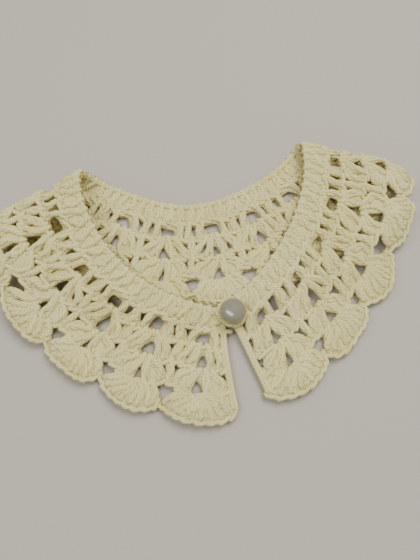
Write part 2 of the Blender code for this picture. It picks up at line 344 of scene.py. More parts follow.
def yarn_tubes(controls, radius, closed, steps, seed, placed=False):
    """Tubes of yarn along lines of (k, r, h), or of places in mm where placed is true. Gives points, faces and
    map, the height and tone of each point, and the end caps."""
    line = strand_points(np.asarray(controls, float), steps, closed)
    count, length = line.shape[:2]
    if placed:
        at, normal = line, np.broadcast_to(np.array((0.0, 0.0, 1.0)), line.shape)
    else:
        at, normal = place(line)
    ahead = np.roll(at, -1, axis=1) - np.roll(at, 1, axis=1)
    if not closed:
        ahead[:, 0] = at[:, 1] - at[:, 0]
        ahead[:, -1] = at[:, -1] - at[:, -2]
    ahead /= np.linalg.norm(ahead, axis=-1, keepdims=True)
    # A direction square to the strand is carried along it, so that the tube doesn't twist.
    out = np.cross(ahead[:, 0], normal[:, 0] + 0.3 * np.roll(ahead[:, 0], 1, axis=-1))
    frames = []
    for i in range(length):
        out = out - np.sum(out * ahead[:, i], axis=-1, keepdims=True) * ahead[:, i]
        out /= np.linalg.norm(out, axis=-1, keepdims=True)
        frames.append(out)
    frame_out = np.stack(frames, axis=1)
    frame_up = np.cross(ahead, frame_out)
    spin = np.zeros((count, length))
    if closed:
        # What it has turned by the end of a loop is taken back evenly, so that the ends meet.
        last = frame_out[:, -1] - np.sum(frame_out[:, -1] * ahead[:, 0], axis=-1, keepdims=True) * ahead[:, 0]
        slip = np.arctan2(np.sum(last * frame_up[:, 0], axis=-1), np.sum(last * frame_out[:, 0], axis=-1))
        spin = -slip[:, None] * np.arange(length)[None, :] / length
    random = np.random.default_rng(seed)
    by_strand = YARN_UNEVEN[0] * random.standard_normal((count, 1))
    by_point = YARN_UNEVEN[1] * random.standard_normal((count, length))
    thick = radius * (1 + by_strand + by_point)
    theta = spin[..., None] + 2 * math.pi * np.arange(SIDES) / SIDES
    spoke = np.cos(theta)[..., None] * frame_out[:, :, None] + np.sin(theta)[..., None] * frame_up[:, :, None]
    points = at[:, :, None] + thick[:, :, None, None] * spoke
    # The height of each point over the middle of the cloth sets how much painted shade the material gives it; a
    # strand clear of the cloth is given none.
    if placed:
        height = np.full(points.shape[:-1], IN_THE_OPEN)
    else:
        height = line[:, :, None, 2] + thick[..., None] * np.sum(spoke * normal[:, :, None], axis=-1)
    tone = np.broadcast_to(random.random((count, 1, 1)), height.shape)
    pieces = np.linalg.norm(np.diff(at, axis=1), axis=-1)
    run = np.concatenate([np.zeros((count, 1)), np.cumsum(pieces, axis=1)], axis=1)
    if closed:
        last_piece = np.linalg.norm(at[:, 0] - at[:, -1], axis=-1)[:, None]
        run = np.concatenate([run, run[:, -1:] + last_piece], axis=1)
    rings = length if closed else length - 1
    index = np.arange(count * length * SIDES).reshape(count, length, SIDES)
    beside = np.roll(index, -1, axis=2)
    here = np.arange(rings)
    there = (here + 1) % length
    faces = np.stack([index[:, here], beside[:, here], beside[:, there], index[:, there]], axis=-1)
    u0 = np.broadcast_to(np.arange(SIDES) / SIDES, (count, rings, SIDES))
    u1 = u0 + 1 / SIDES
    v0 = np.broadcast_to(run[:, :rings, None] / UV_MM, (count, rings, SIDES))
    v1 = np.broadcast_to(run[:, 1:rings + 1, None] / UV_MM, (count, rings, SIDES))
    uv = np.stack([np.stack(corner, axis=-1) for corner in ((u0, v0), (u1, v0), (u1, v1), (u0, v1))], axis=-2)
    caps = []
    if not closed:
        caps = [row[::-1] for row in index[:, 0]] + [row for row in index[:, -1]]
    return points.reshape(-1, 3), faces.reshape(-1, 4), uv.reshape(-1, 2), height.ravel(), tone.ravel(), caps


def add_values(mesh, label, values):
    """Gives each point of a mesh a value, which the yarn's material reads."""
    attribute = mesh.attributes.new(label, "FLOAT", "POINT")
    attribute.data.foreach_set("value", values.astype(np.float32))


def yarn_piece(name, groups):
    """One mesh of many yarn tubes, riding on the collar."""
    points, corners, starts, uvs, heights, tones = [], [], [], [], [], []
    first = 0
    loops = 0
    for at, faces, uv, height, tone, caps in groups:
        points.append(at)
        heights.append(height)
        tones.append(tone)
        corners.append((faces + first).ravel())
        starts.append(loops + 4 * np.arange(len(faces)))
        uvs.append(uv)
        loops += 4 * len(faces)
        if caps:
            ring = np.stack(caps) + first
            corners.append(ring.ravel())
            starts.append(loops + ring.shape[1] * np.arange(len(ring)))
            uvs.append(np.zeros((ring.size, 2)))
            loops += ring.size
        first += len(at)
    points = np.concatenate(points) * MM
    corners = np.concatenate(corners)
    starts = np.concatenate(starts)
    mesh = bpy.data.meshes.new(name)
    mesh.vertices.add(len(points))
    mesh.vertices.foreach_set("co", points.astype(np.float32).ravel())
    mesh.loops.add(len(corners))
    mesh.loops.foreach_set("vertex_index", corners.astype(np.int32))
    mesh.polygons.add(len(starts))
    mesh.polygons.foreach_set("loop_start", starts.astype(np.int32))
    mesh.update(calc_edges=True)
    mesh.validate()
    layer = mesh.uv_layers.new(name="yarn")
    layer.data.foreach_set("uv", np.concatenate(uvs).astype(np.float32).ravel())
    add_values(mesh, "height", np.concatenate(heights))
    add_values(mesh, "tone", np.concatenate(tones))
    mesh.shade_smooth()
    mesh.materials.append(cotton)
    obj = bpy.data.objects.new(name, mesh)
    bpy.context.scene.collection.objects.link(obj)
    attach(obj, "root")
    return obj


# A double crochet post: two strands that cross once between the base and the top, with a third wrapped aslant
# round them above the middle. The base goes round the stitch or the chain that it is worked into.
POST_STRANDS = (
    # share of the length, mm past it, mm aside, mm of height
    ((0.0, -2.3, -0.35, -0.15), (0.0, -1.6, -0.60, 0.70), (0.08, 0.0, -0.85, 0.60), (0.32, 0.0, -0.80, 0.40),
     (0.52, 0.0, -0.20, 0.55), (0.74, 0.0, 0.95, 0.42), (1.0, 0.0, 1.10, 0.10)),
    ((0.0, -2.3, 0.35, 0.15), (0.0, -1.6, 0.60, -0.70), (0.08, 0.0, 0.85, -0.60), (0.32, 0.0, 0.80, -0.40),
     (0.52, 0.0, 0.20, -0.55), (0.74, 0.0, -0.95, -0.42), (1.0, 0.0, -1.10, -0.10)),
)
POST_SIDES = (
    # the two strands beside them, that the loops are drawn through
    ((0.0, 0.2, -0.40, -0.30), (0.25, 0.0, -0.85, -0.30), (0.50, 0.0, -1.10, 0.10), (0.78, 0.0, -1.05, -0.25),
     (1.0, -0.2, -0.50, -0.45)),
    ((0.0, 0.2, 0.40, 0.30), (0.25, 0.0, 0.85, 0.30), (0.50, 0.0, 1.10, -0.10), (0.78, 0.0, 1.05, 0.25),
     (1.0, -0.2, 0.50, 0.45)),
)
SIDE_YARN = 0.86 * YARN     # radius of those side strands, in mm
WRAP_YARN = 0.92            # radius of the wrapped strand, which is pulled tight, in mm
WRAP_AT = 0.64              # how far up the post it lies, as a share of the length
WRAP_SLANT = 1.15           # how far it runs up and down the post as it goes round, in mm
WRAP_HALF_WIDE = 1.30       # from its middle to its sides, in mm
WRAP_HALF_HIGH = 0.84       # from its middle to its top, in mm
WRAP_POINTS = 8
FOOT_STRAY = 0.3            # how far the foot of a post strays aside, in mm
TOP_STRAY = (0.4, 0.18)     # how far its top strays aside and down, in mm
STRAND_STRAY = (0.15, 0.10)  # how far a point of a strand strays aside and in height, in mm
WRAP_STRAY = (0.25, 0.04)   # how much the wrap's slant varies, in mm, and its place, as a share of the length


def post_frame(base, top, bow):
    """Maps (share, mm along, mm aside, h) on posts to (k, r, h)."""
    middle = 0.5 * (base + top)
    repeat = width(middle[:, 0], middle[:, 1])
    dx = (top[:, 0] - base[:, 0]) * repeat
    dr = top[:, 1] - base[:, 1]
    length = np.hypot(dx, dr)
    ux, ur = dx / length, dr / length

    def to_cloth(local):
        share, past, beside, high = (local[..., n] for n in range(4))
        run = share * length[:, None] + past
        beside = beside + bow[:, None] * 4 * np.clip(share, 0, 1) * (1 - np.clip(share, 0, 1))
        x = run * ux[:, None] + beside * ur[:, None]
        y = run * ur[:, None] - beside * ux[:, None]
        return np.stack([base[:, None, 0] + x / repeat[:, None], base[:, None, 1] + y, high], axis=-1)

    return to_cloth


def double_crochets(base, top, bow, seed, fat):
    """The yarn of a group of posts, no two quite alike. Bow is how far the middle of each stands aside, in mm,
    and fat is how wide they are worked, as a share of the usual width."""
    random = np.random.default_rng(seed)
    base, top, bow = np.array(base, float), np.array(top, float), np.array(bow, float)
    count = len(base)
    repeat = width(base[:, 0], base[:, 1])
    base[:, 0] += FOOT_STRAY * random.standard_normal(count) / repeat
    top[:, 0] += TOP_STRAY[0] * random.standard_normal(count) / repeat
    top[:, 1] += TOP_STRAY[1] * random.standard_normal(count)
    to_cloth = post_frame(base, top, bow)
    groups = []
    for n, strand in enumerate(POST_STRANDS + POST_SIDES):
        local = np.tile(np.array(strand), (count, 1, 1))
        local[:, :, 2] *= fat
        local[:, 1:, 2] += STRAND_STRAY[0] * random.standard_normal((count, local.shape[1] - 1))
        local[:, 1:, 3] += STRAND_STRAY[1] * random.standard_normal((count, local.shape[1] - 1))
        radius = (YARN if n < len(POST_STRANDS) else SIDE_YARN) * math.sqrt(fat)
        groups.append(yarn_tubes(to_cloth(local), radius, closed=False, steps=2, seed=seed + 1000 * n))
    angle = np.linspace(0, 2 * math.pi, WRAP_POINTS, endpoint=False)
    slant = WRAP_SLANT + WRAP_STRAY[0] * random.standard_normal((count, 1))
    at_share = WRAP_AT + WRAP_STRAY[1] * random.standard_normal((count, 1))
    wrap = np.stack(np.broadcast_arrays(at_share, slant * np.cos(angle), WRAP_HALF_WIDE * fat * np.cos(angle),
                                        WRAP_HALF_HIGH * np.sin(angle)), axis=-1)
    groups.append(yarn_tubes(to_cloth(wrap), WRAP_YARN * math.sqrt(fat), closed=True, steps=2, seed=seed + 20))
    return groups


# The chain along the top of each row: every stitch ends in a flattened loop of two strands, and the next one
# comes out of it, so the tops lie one in another like a braid.
LINK = np.array((
    # share of the pitch, mm to the outer side, share of the half width
    (-0.28, -0.70, 0.0), (0.00, -0.80, 0.60), (0.33, -0.50, 0.95), (0.67, 0.25, 1.0), (0.96, 0.75, 0.62),
    (1.10, 0.80, 0.0), (0.96, 0.75, -0.62), (0.67, 0.25, -1.0), (0.33, -0.50, -0.95), (0.00, -0.80, -0.60),
))
LINK_UNEVEN = (0.06, 5.0)   # how much a loop's width varies, as a share, and its lean, in degrees


def chain_links(line, spread, lean, radius, seed, slant=1.0):
    """Loops of yarn from each point of a line (k, r, h) to the next. Spread is half the loop's width in mm, and
    lean is how far it leans, in degrees, from standing on the cloth to lying in it. Slant is how much of the
    table's run to the outer side it takes."""
    line = np.asarray(line, float)
    start, end = line[:-1], line[1:]
    middle = 0.5 * (start + end)
    repeat = width(middle[:, 0], middle[:, 1])
    dx = (end[:, 0] - start[:, 0]) * repeat
    dr = end[:, 1] - start[:, 1]
    pitch = np.hypot(dx, dr)
    ux, ur = dx / pitch, dr / pitch
    random = np.random.default_rng(seed)
    count = len(start)
    spread = np.broadcast_to(np.asarray(spread, float), (count,))
    spread = spread * (1 + LINK_UNEVEN[0] * random.standard_normal(count))
    lean = np.radians(lean + LINK_UNEVEN[1] * random.standard_normal(count))
    along = LINK[None, :, 0] * pitch[:, None]
    beside = slant * LINK[None, :, 1] + spread[:, None] * LINK[None, :, 2] * np.sin(lean)[:, None]
    high = spread[:, None] * LINK[None, :, 2] * np.cos(lean)[:, None]
    x = along * ux[:, None] - beside * ur[:, None]
    y = along * ur[:, None] + beside * ux[:, None]
    rise = start[:, None, 2] + (end - start)[:, None, 2] * LINK[None, :, 0]
    controls = np.stack([start[:, None, 0] + x / repeat[:, None], start[:, None, 1] + y, high + rise], axis=-1)
    return yarn_tubes(controls, radius, closed=True, steps=2, seed=seed + 1)


# The ground chain and the neck band: the collar starts with a chain round the neck, with the yarn of its first
# stitches drawn along both of its faces. The first row is four double crochets to a repeat, side by side.
NECK_POSTS = 4              # double crochets to a repeat
NECK_CHAIN = 1.9            # from the neck edge to the chain, in mm
NECK_FOOT = 2.3             # from the neck edge to the feet of the posts, in mm
NECK_BAND_TOP = 10.2        # from the neck edge to the chain on top of the band, in mm
NECK_LEAN = 0.02            # how far the top of a post stands ahead of its foot, in repeats
BAND_SHIFT = 0.06           # how far the chain on top lies behind the posts, in repeats
NECK_BOW = 0.1              # how far the middle of a post stands aside, in mm
NECK_FAT = 1.12             # width of its posts as a share of the usual one
POST_END = 0.9              # from the end of a post to the chain there, in mm
NECK_STRANDS = (
    # mm from the neck edge to a strand drawn along it, mm out from the middle of the cloth
    (0.55, 0.4),
    (1.6, 0.4),
    (0.35, -0.5),
    (1.4, -0.9),
)
DRAWN_YARN = 0.95           # radius of yarn that is drawn tight along an edge, in mm
CHAIN_SPREAD = 0.65         # half the width of the loops on top of a row, in mm
CHAIN_LEAN = 20.0           # how far they lean over, in degrees


def spots(*parts):
    """Points from their parts, such as k, r and h, each a value or an array."""
    return np.stack(np.broadcast_arrays(*parts), axis=-1).astype(float)


columns = np.arange(1, NECK_POSTS * REPEATS) / NECK_POSTS
neck_links = np.arange(0, NECK_POSTS * REPEATS + 1) / NECK_POSTS
neck_rim = np.stack([spots(neck_links, inset, out) for inset, out in NECK_STRANDS])
neck_base = spots(columns, NECK_FOOT)
neck_top = spots(columns + NECK_LEAN, NECK_BAND_TOP - POST_END)
neck_line = spots(neck_links, NECK_CHAIN, 0.0)
band_line = spots(neck_links - BAND_SHIFT, NECK_BAND_TOP, 0.0)
neck_band = yarn_piece("neck_band", [
    yarn_tubes(neck_rim, DRAWN_YARN, closed=False, steps=3, seed=10),
    chain_links(neck_line, spread=0.45, lean=30, radius=DRAWN_YARN, seed=11, slant=0.5),
    *double_crochets(neck_base, neck_top, np.full(len(columns), NECK_BOW), seed=12, fat=NECK_FAT),
    chain_links(band_line, CHAIN_SPREAD, CHAIN_LEAN, radius=1.05, seed=13),
])

# The shell rows: at each junction one double crochet stands on that of the row before. In the middle of a
# repeat the first of them has two with a chain between them, and the next two have two, a chain and two, all
# worked into the chain space before, so a gap opens under every chain.
ROW_TOPS = (
    # mm from the neck edge to the top of the neck band and of each row, at a junction and at a fan column
    (NECK_BAND_TOP, NECK_BAND_TOP),
    (19.2, 19.0),
    (28.0, 30.1),
    (37.5, 41.0),
)
ROWS = (
    # name, loops of the chain to a repeat, width of its posts as a share of the usual one
    ("v_stitch_row", 5, 0.82),
    ("first_shell_row", 6, 0.90),
    ("second_shell_row", 6, 0.98),
)
SHELLS = (
    # for each row, the posts beside a fan column: mm aside at the base, mm down from the row before, mm aside
    # at the top, mm short of the row's top, bow in mm
    ((4.4, 0.9, 6.2, 1.0, 0.6),),
    ((1.7, 0.5, 4.9, 1.0, 0.2), (5.0, 0.7, 9.3, 0.6, 1.2)),
    ((1.6, 0.6, 4.6, 1.0, 0.2), (5.0, 0.7, 9.8, 0.6, 2.0)),
)
CHAIN_DRAWN_IN = 0.35       # how much narrower the chain's loops are where it spans a gap, in mm
GAP_PHASE = 0.45            # how far from a fan column that goes, 1 being the junction
EDGE_INSET = 1.5            # from a front edge to the turning chains, in mm


def aside(k, r, mm):
    """Repeat mm away from repeat k along the row at r."""
    return k + mm / width(k, r)


def row_top(row, k):
    """Distance from the neck edge of the top of a row."""
    low, high = ROW_TOPS[row]
    share = (1 + np.cos(math.pi * tip_phase(k))) / 2
    return low + (high - low) * share


junctions = np.arange(1, REPEATS, dtype=float)
fans = np.arange(REPEATS) + 0.5
for row, ((name, links, fat), shells) in enumerate(zip(ROWS, SHELLS), start=1):
    bases = [spots(junctions, row_top(row - 1, junctions) + POST_END)]
    tops = [spots(junctions, row_top(row, junctions) - POST_END)]
    bows = [np.zeros(len(junctions))]
    for base_aside, base_down, top_aside, top_short, bow in shells:
        for side in (-1, 1):
            base_r = row_top(row - 1, fans) + base_down
            top_k = aside(fans, row_top(row, fans), side * top_aside)
            bases.append(spots(aside(fans, base_r, side * base_aside), base_r))
            tops.append(spots(top_k, row_top(row, top_k) - top_short))
            bows.append(np.full(len(fans), side * bow))
    link_k = np.arange(0, links * REPEATS + 1) / links
    ends = link_k[[0, -1]]
    link_k[[0, -1]] = aside(ends, row_top(row, ends), np.array((EDGE_INSET, -EDGE_INSET)))
    near_fan = 1 - smooth(tip_phase((link_k[:-1] + link_k[1:]) / 2) / GAP_PHASE)
    spread = CHAIN_SPREAD - CHAIN_DRAWN_IN * near_fan
    line = spots(link_k, row_top(row, link_k), 0.0)
    yarn_piece(name, [
        *double_crochets(np.concatenate(bases), np.concatenate(tops), np.concatenate(bows), 30 * row, fat),
        chain_links(line, spread, CHAIN_LEAN, radius=1.0, seed=30 * row + 25),
    ])

# The fans: eight double crochets out of each last chain space, spread like a hand, make the scallops, and their
# tops lie along the rim as a braid.
FAN_POSTS = 8
FAN_FAT = 0.90              # width of its posts as a share of the usual one
FAN_FOOT = 3.8              # half the width of a fan's foot, in mm, were its posts evenly spaced
FAN_FOOT_FLARE = 3.6        # and how much further out the outermost posts stand, in mm
FAN_FOOT_RISE = 1.5         # how much nearer the neck edge its outer posts begin, in mm
RIM_INSET = 1.5             # from the rim to the middle of the braid, in mm
RIM_TO_POST = 1.1           # from the braid to the tops of the posts, in mm
SCALLOP_MIDDLE = 49.0       # distance from the neck edge where the width of a scallop is taken, in mm
SCALLOP_STEPS = 161
INSET_SHARES = (0.55, 0.25)  # of a line's inset: width lost on each side, and how much less inset its ends are
NEARLY_HALF = 0.4999        # of a repeat, so that the rim's depth is that of the one scallop


def scallop(fan_k, shares, inset):
    """Points at those shares of the length of a scallop, set in from its rim, as (k, r)."""
    steps = np.arange(SCALLOP_STEPS)
    k = fan_k + np.linspace(-0.5, 0.5, SCALLOP_STEPS)
    wide = float(width(fan_k, SCALLOP_MIDDLE))
    fall = np.clip(np.abs(k - fan_k) * 2, 0, 1)
    x = (k - fan_k) * (wide - 2 * inset * INSET_SHARES[0])
    depth = rim(np.clip(k, fan_k - NEARLY_HALF, fan_k + NEARLY_HALF))
    r = depth - inset * (1 - INSET_SHARES[1] * fall ** 3)
    run = np.concatenate([[0], np.cumsum(np.hypot(np.diff(x), np.diff(r)))])
    at = np.interp(shares, run / run[-1], steps)
    return spots(fan_k + np.interp(at, steps, x) / wide, np.interp(at, steps, r))


splay = (np.arange(FAN_POSTS) - (FAN_POSTS - 1) / 2) / ((FAN_POSTS - 1) / 2)   # from -1 to 1 across a fan
fan_bases, fan_tops, rim_lines = [], [], []
for fan_k in fans:
    base_r = row_top(3, fan_k) + POST_END - FAN_FOOT_RISE * splay ** 2
    fan_bases.append(spots(aside(fan_k, base_r, FAN_FOOT * splay + FAN_FOOT_FLARE * splay ** 3), base_r))
    fan_tops.append(scallop(fan_k, (np.arange(FAN_POSTS) + 0.5) / FAN_POSTS, RIM_INSET + RIM_TO_POST))
    rim_lines.append(scallop(fan_k, np.arange(FAN_POSTS + 1) / FAN_POSTS, RIM_INSET)[:-1])
rim_lines.append(np.array([[REPEATS, NOTCH - RIM_INSET]]))
rim_k, rim_r = np.concatenate(rim_lines).T
fan_row = yarn_piece("fan_row", double_crochets(
    np.concatenate(fan_bases), np.concatenate(fan_tops), np.tile(splay, REPEATS), seed=200, fat=FAN_FAT))
rim_braid = yarn_piece("rim_braid", [
    chain_links(spots(rim_k, rim_r, 0.0), spread=0.8, lean=48, radius=0.9, seed=230, slant=0.5)])

# The front edges: the turning chains of the rows, one above another, are the straight edge of each front, with
# two strands of yarn drawn tight along them.
EDGE_STRANDS = (0.7, 1.8)   # from the edge to the middle of each strand, in mm
EDGE_STRAND_HIGH = 0.35     # how far out from the middle of the cloth they lie, in mm
EDGE_ENDS = (0.9, 1.2)      # from the neck edge, and from the rim, to the ends of the chains, in mm
EDGE_LINKS = 14
edge_r = np.linspace(EDGE_ENDS[0], NOTCH - EDGE_ENDS[1], EDGE_LINKS + 1)
edge_groups = []
for edge, inward, seed in ((0.0, 1, 250), (float(REPEATS), -1, 260)):
    line = spots(aside(edge, edge_r, inward * EDGE_INSET), edge_r, 0.0)
    strands = [spots(aside(edge, edge_r, inward * inset), edge_r, EDGE_STRAND_HIGH) for inset in EDGE_STRANDS]
    edge_groups.append(chain_links(line, spread=0.4, lean=70, radius=DRAWN_YARN, seed=seed, slant=0.3))
    edge_groups.append(yarn_tubes(np.stack(strands), 1.0, closed=False, steps=3, seed=seed + 5))
front_edges = yarn_piece("front_edges", edge_groups)

# The ground of the cloth: inside the stitches the strands are pressed together, so no light comes through but
# at the gaps of the pattern. It is one soft sheet with those gaps in it, the true surface of the collar.
GROUND = 1.2                # greatest thickness, in mm
GROUND_EDGE = 0.35          # share of it that is left at the border of a gap
GROUND_RUN = 1.6            # from a border to the full thickness, in mm
GROUND_UNEVEN = 0.22        # greatest share of it that is missing at a point
GROUND_SHADE = 0.85         # how open to the light the full thickness lies, 1 being the crown of a strand
GROUND_TONE = 0.45          # its tone, between 0 for the darkest strand and 1 for the palest
GROUND_INSET = (0.7, 1.3, 0.9)  # from the neck edge, the rim and a front edge to the ground, in mm
GRID = (32, 70)             # cells in a repeat, and from the neck edge to the tips
THICKNESS_STEPS = 20
HOLES = (
    # repeats from the last junction (0.5 is a fan column), mm that it lies to both sides of there, then the
    # outline of the gap as mm aside and mm from the neck edge
    (0.5, 0.0, ((-3.3, 12.2), (1.7, 12.2), (3.3, 15.3), (3.5, 18.3), (-1.9, 18.3), (-2.9, 15.5))),
    (0.0, 4.1, ((-2.7, 11.6), (2.7, 11.6), (1.8, 16.6), (-1.8, 16.6))),
    (0.5, 0.0, ((0.0, 21.2), (3.3, 26.6), (2.3, 29.5), (-2.3, 29.5), (-3.3, 26.6))),
    (0.0, 3.9, ((-2.6, 20.0), (2.6, 20.0), (1.8, 25.4), (-1.8, 25.4))),
    (0.5, 0.0, ((0.0, 32.8), (3.2, 38.2), (2.7, 40.3), (-2.7, 40.3), (-3.2, 38.2))),
    (0.0, 3.4, ((-2.4, 28.6), (2.4, 28.6), (1.7, 33.8), (-1.7, 33.8))),
    (0.0, 0.0, ((-4.8, 40.9), (-1.0, 38.0), (5.0, 38.8), (4.2, 41.6), (0.6, 44.2), (-4.2, 43.0))),
)
HOLE_UNEVEN = 0.10          # how much the size of a gap varies, as a share
HOLE_STRAY = 0.3            # how far a gap, and each of its corners, strays, in mm
HOLE_REACH = 0.35           # no gap reaches further than this from its middle, in repeats
EDGE_HOLE = (0.7, 0.4)      # beside a front edge: share of a gap's width, and mm that it lies further in
SOFT_CORNER = 0.35          # how round the corners of the gaps are, in mm


def gap_outlines():
    """Every gap as (k of its middle, outline in mm aside and mm from the neck edge), no two quite the same."""
    random = np.random.default_rng(300)
    outlines = []
    for phase, away, outline in HOLES:
        for repeat in range(REPEATS + 1):
            for side in ((-1, 1) if away else (1,)):
                k = repeat + phase
                at_edge = k in (0, REPEATS)
                off_cloth = (not 0 < k + 0.1 * side < REPEATS) if away else at_edge
                if k > REPEATS or off_cloth:
                    continue
                line = np.array(outline)
                middle = line.mean(axis=0)
                size = 1 + HOLE_UNEVEN * random.standard_normal(2)
                line = middle + (line - middle) * size + HOLE_STRAY * random.standard_normal(2)
                line = line + HOLE_STRAY * random.standard_normal(line.shape)
                offset = away
                if at_edge:
                    line[:, 0] *= EDGE_HOLE[0]
                    offset += EDGE_HOLE[1]
                outlines.append((aside(k, middle[1], side * offset), line * (side, 1.0)))
    return outlines


gaps = gap_outlines()


def outside_ground(k, r):
    """Distance in mm past the border of the ground, less than 0 inside the ground."""
    from_neck, from_rim, from_edge = GROUND_INSET
    depth = rim(np.clip(k, 0.001, REPEATS - 0.001))
    outside = np.stack([from_neck - r, r - (depth - from_rim), from_edge - k * width(0.0, r),
                        from_edge - (REPEATS - k) * width(float(REPEATS), r)]).max(axis=0)
    for at, line in gaps:
        near = np.abs(k - at) < HOLE_REACH
        if not near.any():
            continue
        x = (k[near] - at) * width(at, r[near])
        y = r[near]
        middle = line.mean(axis=0)
        over = []
        for a, b in zip(line, np.roll(line, -1, axis=0)):
            normal = np.array((b[1] - a[1], a[0] - b[0])) / np.linalg.norm(b - a)
            if np.dot(normal, a - middle) < 0:
                normal = -normal
            over.append((x - a[0]) * normal[0] + (y - a[1]) * normal[1])
        # A soft greatest value of the distances past its sides rounds the corners of a gap.
        over = SOFT_CORNER * np.log(np.exp(np.clip(np.stack(over) / SOFT_CORNER, -40, 40)).sum(axis=0))
        outside[near] = np.maximum(outside[near], -over)
    return outside


# The sheet is cut from a grid, and the points along its borders are drawn onto them in three steps.
across = np.linspace(0, REPEATS, GRID[0] * REPEATS + 1)
down = np.linspace(0, TIP, GRID[1] + 1)
grid_k, grid_r = np.meshgrid(across, down, indexing="ij")
gap = outside_ground(grid_k, grid_r)
kept = (gap[:-1, :-1] + gap[1:, :-1] + gap[:-1, 1:] + gap[1:, 1:]) < 0.0
touching = np.zeros(grid_k.shape, int)
for di in (0, 1):
    for dj in (0, 1):
        touching[di:di + kept.shape[0], dj:dj + kept.shape[1]] += kept
border = (touching > 0) & (touching < 4)
step = 0.05                 # over which the slope of the distance is taken, in mm
for _ in range(3):
    bk, br = grid_k[border], grid_r[border]
    wide = width(bk, br)
    here = outside_ground(bk, br)
    slope_k = (outside_ground(bk + step / wide, br) - here) / step
    slope_r = (outside_ground(bk, br + step) - here) / step
    move = np.clip(here / np.maximum(slope_k ** 2 + slope_r ** 2, 0.3), -0.5, 0.5)
    grid_k[border] = np.clip(bk - move * slope_k / wide, 0, REPEATS)
    grid_r[border] = np.maximum(br - move * slope_r, 0.1)
index = np.arange(grid_k.size).reshape(grid_k.shape)
quads = np.stack([index[:-1, :-1], index[:-1, 1:], index[1:, 1:], index[1:, :-1]], axis=-1)[kept]
used, quads = np.unique(quads, return_inverse=True)
ground_at, _ = place(spots(grid_k.ravel()[used], grid_r.ravel()[used], 0.0))
ground_mesh = bpy.data.meshes.new("cloth_ground")
ground_mesh.from_pydata((ground_at * MM).tolist(), [], quads.reshape(-1, 4).tolist())
deep = outside_ground(grid_k, grid_r).ravel()[used]
thickness = GROUND_EDGE + (1 - GROUND_EDGE) * smooth(-deep / GROUND_RUN)
thickness *= 1 - GROUND_UNEVEN * np.random.default_rng(301).random(len(used))
# The height given to the sheet sets its painted shade: it is darker where the sheet thins towards the border of
# a gap.
add_values(ground_mesh, "tone", np.full(len(used), GROUND_TONE))
add_values(ground_mesh, "height", GROUND_SHADE * thickness)
# The map is the crown of a ply all over, because the sheet has no twist.
ply_uv = np.tile((0.5 / PLIES, 0.0), (len(ground_mesh.loops), 1))
ground_mesh.uv_layers.new(name="yarn").data.foreach_set("uv", ply_uv.astype(np.float32).ravel())
ground_mesh.shade_smooth()
ground_mesh.materials.append(cotton)
ground = bpy.data.objects.new("cloth_ground", ground_mesh)
bpy.context.scene.collection.objects.link(ground)
plump = ground.vertex_groups.new(name="plump")
for share in range(THICKNESS_STEPS + 1):
    members = np.nonzero(np.round(thickness * THICKNESS_STEPS) == share)[0]
    plump.add(members.tolist(), share / THICKNESS_STEPS, "REPLACE")
thin_wall = ground.modifiers.new("Thickness", "SOLIDIFY")
thin_wall.vertex_group = "plump"
thin_wall.thickness = GROUND * MM
thin_wall.offset = 0.0
bpy.ops.object.select_all(action="DESELECT")
ground.select_set(True)
bpy.context.view_layer.objects.active = ground
bpy.ops.object.modifier_apply(modifier="Thickness")
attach(ground, "root")
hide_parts("front_left", "shoulder_left", "back", "shoulder_right", "front_right")

# The button: a bead of pearl, turned and lacquered, taller than a half round, on a short shank of the yarn. Its
# skin is grey-cream nacre, with painted shade that makes its underside darker, and it shows one soft long
# highlight.
PEARL_AT = (15.4, -22.3)    # middle of the button, in mm
PEARL_MIDDLE = 10.5         # height of the middle of the pearl, in mm
PEARL_RADIUS = 5.6
PEARL_HALF_TALL = 3.7
PEARL_CUT = 0.93            # share of the half height at which its underside is cut flat
PEARL_LIP = 0.6             # width of the lip round the hollow in the underside, in mm
PEARL_HOLLOW = 0.5          # depth of that hollow, in mm
PEARL_BAND = 0.9            # share of the height over which its colour goes from the painted shade below to the skin's
PEARL_CLOUD = 0.006         # size of the clouds in the nacre, in metres
# a dark grey, painted as shade on the underside
PEARL_UNDERSIDE_SHADE = "5F583F"
PEARL_SKIN = "9C9680"
bpy.ops.object.select_all(action="DESELECT")
bpy.ops.mesh.primitive_uv_sphere_add(segments=64, ring_count=32, radius=PEARL_RADIUS * MM)
pearl = bpy.context.object
pearl.name = "pearl_bead"
bpy.ops.object.mode_set(mode="EDIT")
bpy.ops.mesh.select_all(action="SELECT")
bpy.ops.transform.resize(value=(1.0, 1.0, PEARL_HALF_TALL / PEARL_RADIUS))
bpy.ops.mesh.bisect(plane_co=(0, 0, -PEARL_CUT * PEARL_HALF_TALL * MM), plane_no=(0, 0, 1),
                    use_fill=True, clear_inner=True)
bpy.ops.mesh.inset(thickness=PEARL_LIP * MM)
bpy.ops.transform.translate(value=(0, 0, PEARL_HOLLOW * MM))
bpy.ops.mesh.select_all(action="SELECT")
bpy.ops.transform.translate(value=(PEARL_AT[0] * MM, PEARL_AT[1] * MM, PEARL_MIDDLE * MM))
bpy.ops.object.mode_set(mode="OBJECT")
pearl.data.shade_smooth()


